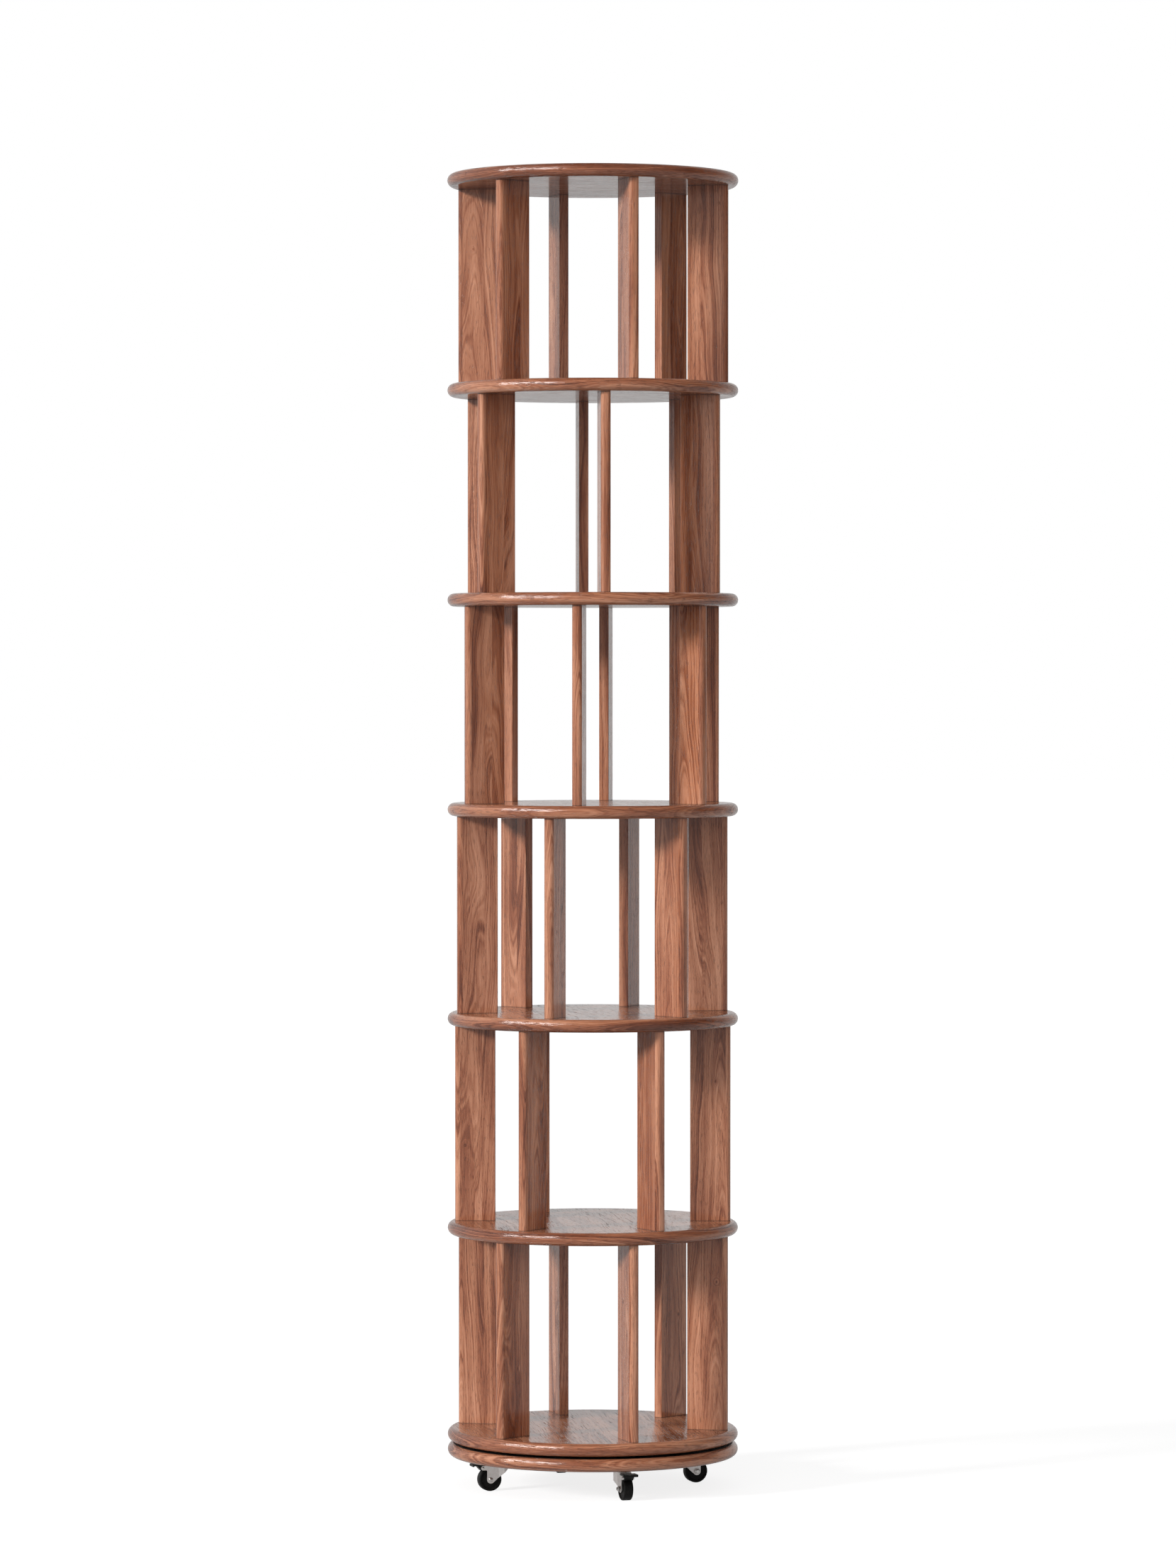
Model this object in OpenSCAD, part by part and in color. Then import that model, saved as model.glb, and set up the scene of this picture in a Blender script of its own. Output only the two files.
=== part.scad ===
// Revolving bookcase. Seven round shelves, with six tiers of radial upright boards
// between them, turn as one tower on a ring bearing. The bearing sits on a round
// base disc, which rolls on four swivel casters with brakes.
// Units are millimetres. Z is up, the floor is z = 0 and the tower turns about the Z axis.

/* [Shelves] */
// Diameter of every shelf and of the base disc
shelf_d = 450; // [430:5:520]
// Thickness of every shelf and of the base disc
shelf_t = 20; // [18:1:26]
// Clear height of the five upper tiers
clear_h = 304; // [240:1:360]
// Clear height of the bottom tier
bottom_clear_h = 300; // [240:1:360]

/* [Uprights] */
// Width of an upright, along the shelf's radius
upright_w = 62.5; // [56:0.5:66]
// Thickness of an upright
upright_t = 15; // [14:0.5:20]
// Distance from the shelf's rim to the outer edge of an upright
upright_inset = 11.5; // [10:0.5:15]
// Radius of the two long corners that face outwards
outer_corner_r = 6; // [2:0.5:6.5]
// Radius of the two long corners that face the middle
inner_corner_r = 1; // [0.5:0.5:3]
// Turn of each tier against the tier below it, in degrees
twist_angle = 12; // [10:1:20]

/* [Joinery] */
// Diameter of the beech dowels in the upper end of each upright
dowel_d = 8; // [6:1:8]
// Length of a dowel
dowel_l = 35; // [30:1:40]
// Depth of a dowel in the underside of a shelf
dowel_in_shelf = 15; // [12:0.5:16]
// Shank diameter of the screws in the lower end of each upright
upright_screw_d = 4.5; // [4:0.5:5]
// Head diameter of those screws
upright_screw_head_d = 8.8; // [8:0.1:9.5]
// Length of those screws
upright_screw_l = 50; // [40:1:60]
// Distance between the two dowels, or the two screws, of one end
fixing_pitch = 32; // [28:1:34]
// Radial clearance of dowels and screw shanks in the wood
wood_fit = 0.05; // [0.02:0.01:0.1]

/* [Turntable] */
// Gap between the base disc and the bottom shelf
base_gap = 3.5; // [3:0.5:4.5]
// Depth of the bearing's pocket in the base disc
base_pocket = 3; // [2:0.5:4]
// Outer diameter of the ring bearing
ring_od = 300; // [290:1:310]
// Width of the ring bearing along its radius, over both rings
ring_band = 32; // [30:1:36]
// Height of the whole bearing
ring_h = 9; // [8.5:0.5:10]
// Height by which each ring stays clear of the board it turns against
ring_slip = 1; // [0.5:0.1:1.2]
// Radial gap between the two rings
race_gap = 2.4; // [2:0.1:3]
// Diameter of a ball
ball_d = 5; // [4.5:0.1:5.5]
// Number of balls
ball_count = 36; // [24:1:48]
// Thickness of the cage that spaces the balls
cage_t = 1.2; // [0.8:0.1:1.4]
// Height of the cage
cage_h = 6.6; // [6.4:0.1:7]
// Radial clearance of a ball in its groove and in the cage
ball_fit = 0.05; // [0.03:0.01:0.1]
// Shank diameter of the screws that hold the rings
ring_screw_d = 3.5; // [3:0.1:4]
// Head diameter of those screws
ring_screw_head_d = 6.6; // [6:0.1:7]
// Length of those screws
ring_screw_l = 15; // [12:1:16]
// Number of screws in each ring
ring_screws = 6; // [3:3:6]
// Diameter of the hole in the base disc that lets a driver reach the inner ring's screws
driver_hole_d = 10; // [8:1:12]

/* [Casters] */
// Height of a caster, from the floor to the base disc
caster_h = 50; // [49:0.5:54]
// Distance from the tower's axis to a caster's kingpin
caster_r = 150; // [135:1:155]
// Angle of the first caster from the X axis
caster_angle = 18; // [10:1:22]
// Distance from the kingpin to the wheel's axle
trail = 17.5; // [16.5:0.5:19]
// Side of the square top plate
plate_w = 38; // [36:1:42]
// Thickness of the top plate
plate_t = 1.8; // [1.5:0.1:2.5]
// Corner radius of the top plate
plate_corner_r = 5; // [2:0.5:6]
// Distance between the plate's screws
plate_hole_pitch = 28; // [27:0.5:30]
// Shank diameter of the plate's screws
plate_screw_d = 3.5; // [3:0.1:4]
// Length of the plate's screws
plate_screw_l = 16; // [12:1:17]
// Depth of the dish pressed into the plate for the swivel's balls
dish_depth = 4.4; // [4:0.1:5]
// Gap between the plate's dish and the fork
swivel_gap = 1.6; // [1.2:0.1:2]
// Diameter of the kingpin
kingpin_d = 6; // [5:0.5:7]
// Diameter of a swivel ball
swivel_ball_d = 3.2; // [3:0.1:3.5]
// Radius of the circle on which the swivel balls run
swivel_ball_r = 10; // [9.5:0.1:10.2]
// Number of balls in one swivel
swivel_balls = 10; // [8:1:14]

/* [Fork, wheel and brake] */
// Thickness of the fork's sheet steel
fork_t = 1.5; // [1.4:0.1:1.8]
// Radius of the fork's round crown
crown_r = 13.5; // [13:0.1:15]
// Radius of the fork's boss round the axle
boss_r = 6; // [5:0.5:7]
// Diameter of the wheel
wheel_d = 36; // [34:0.5:37]
// Width of the wheel
wheel_w = 14.5; // [13:0.5:16]
// Radius of the tread's edges
tread_r = 2; // [1:0.5:4]
// Clearance between the wheel and each leg of the fork
side_play = 0.3; // [0.2:0.1:0.6]
// Diameter of the axle bolt
axle_d = 5; // [4:0.5:6]
// Radial clearance of axles, pivots and the kingpin in the pieces that turn on them
pin_fit = 0.05; // [0.03:0.01:0.1]
// Distance from the axle outwards to the brake's pivot
brake_reach = 12.4; // [12:0.1:13]
// Height of the brake's pivot above the axle
brake_rise = 18.1; // [17.9:0.1:18.5]
// Diameter of the brake's pivot
brake_pin_d = 3; // [2.5:0.1:3.2]
// Radius of the fork's ear round that pivot
ear_r = 3.3; // [3:0.1:3.5]
// Length of the pedal outwards from its pivot
pedal_l = 16.6; // [15:0.1:18]
// Width of the pedal
pedal_w = 24; // [19:0.5:26]
// Thickness of the pedal
pedal_t = 2; // [1.6:0.1:2.4]
// Gap between the brake's nose and the tread with the pedal right down
brake_gap = 0.2; // [0.1:0.1:0.5]
// Turn of the pedal from up to right down, in degrees
brake_angle = 20; // [18:1:22]

/* [Hidden] */
$fn = 96;

// Counts that the named pieces fix
tiers = 6;
uprights_per_tier = 6;
casters = 4;

// Small length by which a cut runs past the face that it opens
past = 0.5;

// Smaller length by which two forms of one piece run into each other
overlap = 0.01;

// Heights of the boards. Shelf 1 is the top shelf and shelf 7 the bottom shelf.
// Tier n stands on shelf n + 1 and carries shelf n.
base_z = caster_h;
bottom_shelf_z = base_z + shelf_t + base_gap;
function tier_h(n) = n == tiers ? bottom_clear_h : clear_h;
function shelf_z(n) = n > tiers ? bottom_shelf_z : shelf_z(n + 1) + shelf_t + tier_h(n);

// Turn of a tier's first upright from the X axis
straight_tier = 5;
function tier_angle(n) = (straight_tier - n) * twist_angle;

// Where the uprights and their fixings stand
upright_out = shelf_d / 2 - upright_inset;
upright_in = upright_out - upright_w;
upright_mid = upright_out - upright_w / 2;
fixing_radii = [upright_mid - fixing_pitch / 2, upright_mid + fixing_pitch / 2];
dowel_chamfer = 0.8;
screw_tip_d = 0.8;

// The ring bearing. The balls run midway between its outer and inner edges.
ring_id = ring_od - 2 * ring_band;
race_r = (ring_od + ring_id) / 4;
ring_z = base_z + shelf_t - base_pocket;
shelf_pocket = ring_h - base_gap - base_pocket;
ball_z = ring_z + ring_h / 2;
groove_r = ball_d / 2 + ball_fit;
outer_screw_r = (race_r + race_gap / 2 + ring_od / 2) / 2;
inner_screw_r = (race_r - race_gap / 2 + ring_id / 2) / 2;
ring_chamfer = 0.5;
pocket_fit = 0.3;

// The caster, in its own frame: the kingpin is on the Z axis and the wheel trails along X
plate_z = caster_h - plate_t;
dish_z = plate_z - dish_depth;
crown_z = dish_z - swivel_gap;
swivel_ball_z = crown_z + swivel_gap / 2;
swivel_groove_r = swivel_ball_d / 2 + ball_fit;
dish_top_inset = 0.9;
dish_floor_inset = 1.5;
dish_top_r = crown_r - dish_top_inset;
dish_floor_r = crown_r - dish_floor_inset;
kingpin_head_lip = 2.5;
kingpin_head_r = kingpin_d / 2 + kingpin_head_lip;
kingpin_top_h = 2;
kingpin_foot_h = 1.4;
plate_screw_head_r = 3.2;
plate_screw_head_h = 2;
leg_y = wheel_w / 2 + side_play + fork_t;
axle_z = wheel_d / 2;
axle_head_r = 3.7;
axle_head_h = 2.4;
head_root = 0.2;
axle_nut_w = 8;
axle_nut_h = 4;
axle_nut_round = 0.9 * axle_nut_w;
axle_end = 1.2;
rivet_head_lip = 0.7;
rivet_head_h = 0.9;
wheel_dish = 1.2;

// Where the fork's legs leave the round crown and where they turn parallel
flare_x = -3.5;
bend_x = 5;
crown_lead = 0.5;
crown_front_x = trail + crown_lead;
back_angle = 41;
ear_fillet = 2;

// The brake's pivot, and its nose, which comes down on the tread
pivot_x = trail + brake_reach;
pivot_z = axle_z + brake_rise;
nose_r = 1.5;
nose_angle = -62;
pivot_dist = norm([brake_reach, brake_rise]);
nose_turn = nose_angle - brake_angle - atan2(brake_rise, brake_reach);
nose_dist = wheel_d / 2 + brake_gap + nose_r;
nose_arm = -pivot_dist * cos(nose_turn)
  - sqrt(pow(nose_dist, 2) - pow(pivot_dist * sin(nose_turn), 2));
hub_r = 3;
cam_w = wheel_w;
pedal_lift = 0.5;
pedal_z = pivot_z + ear_r + pedal_lift;
pedal_back = 4;
pedal_back_x = pivot_x - pedal_back;
web_back = 1;
pedal_corner_r = 3;
lip_drop = 1.2;
lip_t = 1.5;
web_out = 7.5;
web_r = 0.8;

wood = [0.48, 0.29, 0.21];
beech = [0.78, 0.63, 0.45];
steel = [0.72, 0.72, 0.73];
zinc = [0.82, 0.81, 0.79];
alloy = [0.66, 0.67, 0.69];
black = [0.05, 0.05, 0.05];
nylon = [0.9, 0.9, 0.86];

// General shapes

// Points of an arc about c, counter-clockwise from one angle to the other
function arc(c, r, from, to, steps = 12) =
  let (sweep = to < from ? to + 360 - from : to - from)
  [for (i = [0:steps]) c + r * [cos(from + sweep * i / steps), sin(from + sweep * i / steps)]];

// Direction from the centres of two circles to where the line that runs past both,
// from a to b with the circles on its left, touches them
function touch_angle(a, ra, b, rb) =
  atan2(b[1] - a[1], b[0] - a[0]) - acos((ra - rb) / norm(b - a));

// Extrudes an outline drawn in X and Z, centred on y = 0
module along_y(w) {
  rotate([90, 0, 0]) linear_extrude(w, center = true) children();
}

// Low dome on a round base
module dome(r, h) {
  ball_r = (r * r + h * h) / (2 * h);
  intersection() {
    translate([0, 0, h - ball_r]) sphere(ball_r);
    cylinder(r = r, h = h);
  }
}

// Pointed screw shank, tip up
module screw_shank(d, l) {
  tip = d;
  cylinder(h = l - tip, d = d);
  translate([0, 0, l - tip]) cylinder(h = tip, d1 = d, d2 = screw_tip_d);
}

// Countersunk wood screw, head face at z = 0 and tip up
module countersunk_screw(d, head_d, l) {
  cylinder(h = (head_d - d) / 2, d1 = head_d, d2 = d);
  screw_shank(d, l);
}

// The hole that such a screw goes in
module countersunk_hole(d, head_d, l) {
  cylinder(h = (head_d - d) / 2, d1 = head_d + 2 * wood_fit, d2 = d + 2 * wood_fit);
  translate([0, 0, -past]) cylinder(h = l + past + wood_fit, r = d / 2 + wood_fit);
  translate([0, 0, -past]) cylinder(h = past + overlap, r = head_d / 2 + wood_fit);
}

// Plain hole for the shank of a screw that bites here, mouth at z = 0
module pilot_hole(d, l) {
  translate([0, 0, -past]) cylinder(h = l + past + wood_fit, r = d / 2 + wood_fit);
}

// Puts its child at both fixings of every upright of tier n, at height z
module at_fixings(n, z, uprights = [0:uprights_per_tier - 1]) {
  for (k = uprights, r = fixing_radii) {
    rotate(tier_angle(n) + k * 360 / uprights_per_tier) translate([r, 0, z]) children();
  }
}

// Puts its child at each of the ring's screws
module at_ring_screws(r, z) {
  for (k = [0:ring_screws - 1]) {
    rotate(k * 360 / ring_screws) translate([r, 0, z]) children();
  }
}

// Puts its child in place of caster n
module at_caster(n) {
  rotate(caster_angle + (n - 1) * 360 / casters) translate([caster_r, 0, 0]) children();
}

// Boards

// Round board with a fully rounded edge
module disc() {
  rotate_extrude() {
    square([shelf_d / 2 - shelf_t / 2, shelf_t]);
    translate([shelf_d / 2 - shelf_t / 2, shelf_t / 2]) circle(d = shelf_t);
  }
}

// Dowel holes in a shelf's underside, for the tier that carries it
module dowel_holes(n) {
  depth = dowel_in_shelf + past / 2;
  at_fixings(n, shelf_z(n) - past) cylinder(h = depth + past, r = dowel_d / 2 + wood_fit);
}

// Screw holes through a shelf, for the tier that stands on it
module upright_screw_holes(n) {
  at_fixings(n, shelf_z(n + 1))
    countersunk_hole(upright_screw_d, upright_screw_head_d, upright_screw_l);
}

// Shelf n, drilled for the tier below it and the tier above it
module shelf(n) {
  color(wood) difference() {
    translate([0, 0, shelf_z(n)]) disc();
    if (n <= tiers) dowel_holes(n);
    if (n > 1) upright_screw_holes(n - 1);
  }
}

// Ring-shaped pocket that the bearing sits in
module bearing_pocket(z, depth) {
  translate([0, 0, z]) difference() {
    cylinder(r = ring_od / 2 + pocket_fit, h = depth);
    translate([0, 0, -past]) cylinder(r = ring_id / 2 - pocket_fit, h = depth + 2 * past);
  }
}

module bottom_shelf() {
  color(wood) difference() {
    shelf(tiers + 1);
    bearing_pocket(bottom_shelf_z - past, shelf_pocket + past);
    at_ring_screws(inner_screw_r, ring_z + ring_slip) pilot_hole(ring_screw_d, ring_screw_l);
  }
}

module base_disc() {
  color(wood) difference() {
    translate([0, 0, base_z]) disc();
    bearing_pocket(ring_z, base_pocket + past);
    at_ring_screws(outer_screw_r, ring_z + ring_h - ring_slip) mirror([0, 0, 1])
      pilot_hole(ring_screw_d, ring_screw_l);
    rotate(180 / ring_screws) translate([inner_screw_r, 0, base_z - past])
      cylinder(d = driver_hole_d, h = shelf_t + 2 * past);
    for (n = [1:casters]) {
      at_caster(n) at_plate_holes(plate_z) pilot_hole(plate_screw_d, plate_screw_l);
    }
  }
}

// Cross-section of an upright, from its inner edge at x = 0
module upright_outline() {
  half = upright_t / 2;
  ri = inner_corner_r;
  ro = outer_corner_r;
  for (side = [-1, 1]) {
    translate([ri, side * (half - ri)]) circle(ri);
    translate([upright_w - ro, side * (half - ro)]) circle(ro);
  }
  polygon([
    [0, ri - half], [ri, -half], [upright_w - ro, -half], [upright_w, ro - half],
    [upright_w, half - ro], [upright_w - ro, half], [ri, half], [0, half - ri]
  ]);
}

// Two opposite uprights of tier n, numbers k and k + 3 counted from the tier's first
module upright_pair(n, k) {
  pair = [k, k + uprights_per_tier / 2];
  foot_z = shelf_z(n + 1) + shelf_t;
  color(wood) difference() {
    for (i = pair) {
      rotate(tier_angle(n) + i * 360 / uprights_per_tier) translate([upright_in, 0, foot_z])
        linear_extrude(tier_h(n)) upright_outline();
    }
    at_fixings(n, shelf_z(n) - dowel_l + dowel_in_shelf - past / 2, pair)
      cylinder(h = dowel_l, r = dowel_d / 2 + wood_fit);
    at_fixings(n, shelf_z(n + 1), pair)
      cylinder(h = upright_screw_l + past / 2, r = upright_screw_d / 2 + wood_fit);
  }
}

// Fluteless dowel with chamfered ends
module dowel() {
  r = dowel_d / 2;
  c = dowel_chamfer;
  rotate_extrude() polygon([[0, 0], [r - c, 0], [r, c], [r, dowel_l - c], [r - c, dowel_l], [0, dowel_l]]);
}

module upright_dowels() {
  color(beech) for (n = [1:tiers]) {
    at_fixings(n, shelf_z(n) + dowel_in_shelf - dowel_l) dowel();
  }
}

module upright_screws() {
  color(steel) for (n = [1:tiers]) {
    at_fixings(n, shelf_z(n + 1))
      countersunk_screw(upright_screw_d, upright_screw_head_d, upright_screw_l);
  }
}

// Turntable

// One ring of the bearing, between radii ra and rb, with the ball groove cut from it
module bearing_ring(ra, rb, z, head_up) {
  h = ring_h - ring_slip;
  c = ring_chamfer;
  screw_r = (ra + rb) / 2;
  head_z = head_up ? z + h : z;
  color(alloy) difference() {
    translate([0, 0, z]) rotate_extrude() polygon([
      [ra, c], [ra + c, 0], [rb - c, 0], [rb, c], [rb, h - c], [rb - c, h], [ra + c, h], [ra, h - c]
    ]);
    translate([0, 0, ball_z]) rotate_extrude() translate([race_r, 0]) circle(groove_r);
    at_ring_screws(screw_r, head_z) mirror([0, 0, head_up ? 1 : 0])
      countersunk_hole(ring_screw_d, ring_screw_head_d, ring_h + past);
  }
}

module turntable_outer_ring() {
  bearing_ring(race_r + race_gap / 2, ring_od / 2, ring_z, true);
}

module turntable_inner_ring() {
  bearing_ring(ring_id / 2, race_r - race_gap / 2, ring_z + ring_slip, false);
}

// Puts its child at each of the bearing's balls
module at_balls() {
  for (k = [0:ball_count - 1]) {
    rotate((k + 0.5) * 360 / ball_count) translate([race_r, 0, ball_z]) children();
  }
}

module turntable_ball_cage() {
  color(nylon) difference() {
    translate([0, 0, ball_z - cage_h / 2]) difference() {
      cylinder(r = race_r + cage_t / 2, h = cage_h);
      translate([0, 0, -past]) cylinder(r = race_r - cage_t / 2, h = cage_h + 2 * past);
    }
    at_balls() rotate([0, 90, 0]) cylinder(r = groove_r, h = race_gap, center = true);
  }
}

module turntable_balls() {
  color(steel) at_balls() sphere(d = ball_d);
}

module turntable_base_screws() {
  color(steel) at_ring_screws(outer_screw_r, ring_z + ring_h - ring_slip) mirror([0, 0, 1])
    countersunk_screw(ring_screw_d, ring_screw_head_d, ring_screw_l);
}

module turntable_shelf_screws() {
  color(steel) at_ring_screws(inner_screw_r, ring_z + ring_slip)
    countersunk_screw(ring_screw_d, ring_screw_head_d, ring_screw_l);
}

// Casters

// Puts its child at the four holes of a caster's plate, at height z
module at_plate_holes(z) {
  for (i = [-1, 1], j = [-1, 1]) {
    translate([i * plate_hole_pitch / 2, j * plate_hole_pitch / 2, z]) children();
  }
}

// Ring groove that the swivel balls run in
module swivel_groove() {
  translate([0, 0, swivel_ball_z]) rotate_extrude()
    translate([swivel_ball_r, 0]) circle(swivel_groove_r);
}

// Square top plate with the ball dish pressed down out of it
module caster_plate(n) {
  side = plate_w - 2 * plate_corner_r;
  floor_z = dish_z + fork_t;
  color(zinc) at_caster(n) difference() {
    union() {
      translate([0, 0, plate_z]) linear_extrude(plate_t) {
        square([side, plate_w], center = true);
        square([plate_w, side], center = true);
        for (i = [-1, 1], j = [-1, 1]) {
          translate([i * side / 2, j * side / 2]) circle(plate_corner_r);
        }
      }
      translate([0, 0, dish_z]) cylinder(r1 = dish_floor_r, r2 = dish_top_r, h = dish_depth);
    }
    translate([0, 0, floor_z])
      cylinder(r1 = dish_floor_r - fork_t, r2 = dish_top_r - fork_t, h = caster_h - floor_z + overlap);
    translate([0, 0, dish_z - past]) cylinder(r = kingpin_d / 2 + pin_fit, h = fork_t + 2 * past);
    swivel_groove();
    at_plate_holes(plate_z - past) cylinder(r = plate_screw_d / 2 + wood_fit, h = plate_t + 2 * past);
  }
}

// Rivets that hold the forks to their plates, with a head at both ends
module caster_kingpins() {
  head_z = dish_z + fork_t;
  foot_z = crown_z - fork_t - pin_fit * 2;
  color(steel) for (n = [1:casters]) {
    at_caster(n) {
      translate([0, 0, foot_z]) cylinder(d = kingpin_d, h = head_z - foot_z + kingpin_foot_h / 2);
      translate([0, 0, head_z]) dome(kingpin_head_r, kingpin_top_h);
      translate([0, 0, foot_z]) mirror([0, 0, 1]) dome(kingpin_head_r, kingpin_foot_h);
    }
  }
}

// Round-headed screws that hold the plates to the base disc
module caster_plate_screws() {
  color(steel) for (n = [1:casters]) {
    at_caster(n) at_plate_holes(plate_z) {
      mirror([0, 0, 1]) dome(plate_screw_head_r, plate_screw_head_h);
      screw_shank(plate_screw_d, plate_screw_l);
    }
  }
}

module caster_balls(n) {
  color(steel) at_caster(n) for (k = [0:swivel_balls - 1]) {
    rotate(k * 360 / swivel_balls) translate([swivel_ball_r, 0, swivel_ball_z])
      sphere(d = swivel_ball_d);
  }
}

// The fork from above: round behind, then tapered to two parallel legs that end at front.
// inset draws it smaller by the thickness of the sheet.
module fork_plan(inset, front) {
  r = crown_r - inset;
  flare_y = sqrt(r * r - flare_x * flare_x);
  w = leg_y - inset;
  intersection() {
    circle(r);
    translate([-r, -r]) square([r + flare_x, 2 * r]);
  }
  polygon([
    [-r / 2, 0], [flare_x, -flare_y], [bend_x, -w], [front, -w], [front, w], [bend_x, w],
    [flare_x, flare_y]
  ]);
}

// The fork from the side: a boss round the axle, a straight front edge with an ear
// for the brake, and a back edge that slopes up to the crown
module fork_side() {
  front = trail + boss_r;
  ear_top = pivot_z + ear_r;
  ear_foot = pivot_z - ear_r;
  boss = arc([trail, axle_z], boss_r, 270 - back_angle, 360);
  back_x = -crown_r - past;
  back_z = boss[0][1] + (boss[0][0] - back_x) * tan(back_angle);
  armpit = arc([front + ear_fillet, ear_foot - ear_fillet], ear_fillet, 90, 180, 6);
  polygon(concat(
    boss,
    [for (i = [len(armpit) - 1:-1:0]) armpit[i]],
    arc([pivot_x, pivot_z], ear_r, -90, 90),
    [[crown_front_x + crown_z - ear_top, ear_top], [crown_front_x, crown_z]],
    [[back_x, crown_z], [back_x, back_z]]
  ));
}

// Fork pressed from one sheet: a crown, a skirt and two legs
module caster_fork(n) {
  front = pivot_x + ear_r;
  color(zinc) at_caster(n) difference() {
    union() {
      intersection() {
        linear_extrude(crown_z) difference() {
          fork_plan(0, front);
          fork_plan(fork_t, front + past);
        }
        along_y(4 * crown_r) fork_side();
      }
      translate([0, 0, crown_z - fork_t]) linear_extrude(fork_t) {
        circle(crown_r);
        fork_plan(0, crown_front_x);
      }
    }
    translate([0, 0, crown_z - 2 * fork_t]) cylinder(r = kingpin_d / 2 + pin_fit, h = 3 * fork_t);
    swivel_groove();
    translate([trail, 0, axle_z]) rotate([90, 0, 0])
      cylinder(r = axle_d / 2 + pin_fit, h = 3 * leg_y, center = true);
    translate([pivot_x, 0, pivot_z]) rotate([90, 0, 0])
      cylinder(r = brake_pin_d / 2 + pin_fit, h = 3 * leg_y, center = true);
  }
}

// Axle bolt with a domed head and a hexagon nut
module axle_bolt() {
  shank = 2 * leg_y + axle_nut_h + axle_end;
  translate([0, leg_y, 0]) rotate([-90, 0, 0]) dome(axle_head_r, axle_head_h);
  translate([0, leg_y + head_root, 0]) rotate([90, 0, 0]) cylinder(d = axle_d, h = shank + head_root);
}

module axle_nut() {
  translate([0, -leg_y, 0]) rotate([90, 0, 0]) difference() {
    intersection() {
      cylinder(d = axle_nut_w / cos(30), h = axle_nut_h, $fn = 6);
      translate([0, 0, -axle_nut_round]) sphere(axle_nut_round + axle_nut_h);
    }
    translate([0, 0, -past]) cylinder(r = axle_d / 2 + pin_fit, h = axle_nut_h + 2 * past);
  }
}

// Rivet that the brake turns on, hollow at its ends
module brake_rivet() {
  head_r = brake_pin_d / 2 + rivet_head_lip;
  difference() {
    union() {
      rotate([90, 0, 0]) cylinder(d = brake_pin_d, h = 2 * leg_y + rivet_head_h, center = true);
      for (side = [-1, 1]) {
        translate([0, side * leg_y, 0]) rotate([-90 * side, 0, 0]) dome(head_r, rivet_head_h);
      }
    }
    for (side = [-1, 1]) {
      translate([0, side * (leg_y + rivet_head_h), 0]) rotate([90, 0, 0])
        cylinder(r = brake_pin_d / 4, h = 2 * rivet_head_h, center = true);
    }
  }
}

// Axle bolt, its nut and the brake's rivet, which all stay with the fork
module caster_pins(n) {
  color(steel) at_caster(n) {
    translate([trail, 0, axle_z]) {
      axle_bolt();
      axle_nut();
    }
    translate([pivot_x, 0, pivot_z]) brake_rivet();
  }
}

// Half cross-section of the wheel, with a rounded tread and a dished side
module wheel_outline() {
  r = wheel_d / 2;
  bore = axle_d / 2 + pin_fit;
  half = wheel_w / 2;
  dish = wheel_dish;
  difference() {
    union() {
      translate([bore, -half]) square([r - tread_r - bore, wheel_w]);
      translate([bore, tread_r - half]) square([r - bore, wheel_w - 2 * tread_r]);
      for (side = [-1, 1]) {
        translate([r - tread_r, side * (half - tread_r)]) circle(tread_r);
      }
    }
    for (side = [-1, 1]) {
      translate([0, side * half]) polygon([
        [boss_r, side], [boss_r, -side * dish / 4], [boss_r + dish, -side * dish],
        [r - tread_r - 2 * dish, -side * dish], [r - tread_r - dish, 0], [r - tread_r - dish, side]
      ]);
    }
  }
}

module caster_wheel(n) {
  color(black) at_caster(n) translate([trail, 0, axle_z]) rotate([90, 0, 0])
    rotate_extrude() wheel_outline();
}

// The brake from the side, between the fork's ears: hub, nose and the web under the pedal
module brake_side() {
  hub = [pivot_x, pivot_z];
  nose = hub + nose_arm * [cos(nose_angle), sin(nose_angle)];
  web = [pivot_x + web_out, pedal_z - web_r];
  hub_to_nose = touch_angle(hub, hub_r, nose, nose_r);
  nose_to_web = touch_angle(nose, nose_r, web, web_r);
  seat_z = pedal_z + pedal_t / 2;
  polygon(concat(
    [[pedal_back_x + web_back, seat_z], hub - [hub_r, 0]],
    arc(hub, hub_r, 180, 360 + hub_to_nose),
    arc(nose, nose_r, hub_to_nose, nose_to_web),
    arc(web, web_r, nose_to_web, 0, 4),
    [[web[0] + web_r, seat_z]]
  ));
}

// Pedal from above, with rounded outer corners
module pedal_plan() {
  end_x = pivot_x + pedal_l;
  r = pedal_corner_r;
  translate([pedal_back_x, -pedal_w / 2]) square([end_x - r - pedal_back_x, pedal_w]);
  translate([pedal_back_x, r - pedal_w / 2]) square([end_x - pedal_back_x, pedal_w - 2 * r]);
  for (side = [-1, 1]) {
    translate([end_x - r, side * (pedal_w / 2 - r)]) circle(r);
  }
}

module caster_brake(n) {
  end_x = pivot_x + pedal_l;
  color(black) at_caster(n) difference() {
    union() {
      along_y(cam_w) brake_side();
      translate([0, 0, pedal_z]) linear_extrude(pedal_t) pedal_plan();
      translate([0, 0, pedal_z - lip_drop]) intersection() {
        linear_extrude(lip_drop + pedal_t / 2) pedal_plan();
        translate([end_x - lip_t, -pedal_w, 0]) cube([2 * lip_t, 2 * pedal_w, lip_drop + pedal_t]);
      }
    }
    translate([pivot_x, 0, pivot_z]) rotate([90, 0, 0])
      cylinder(r = brake_pin_d / 2 + pin_fit, h = 2 * cam_w, center = true);
  }
}

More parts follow.
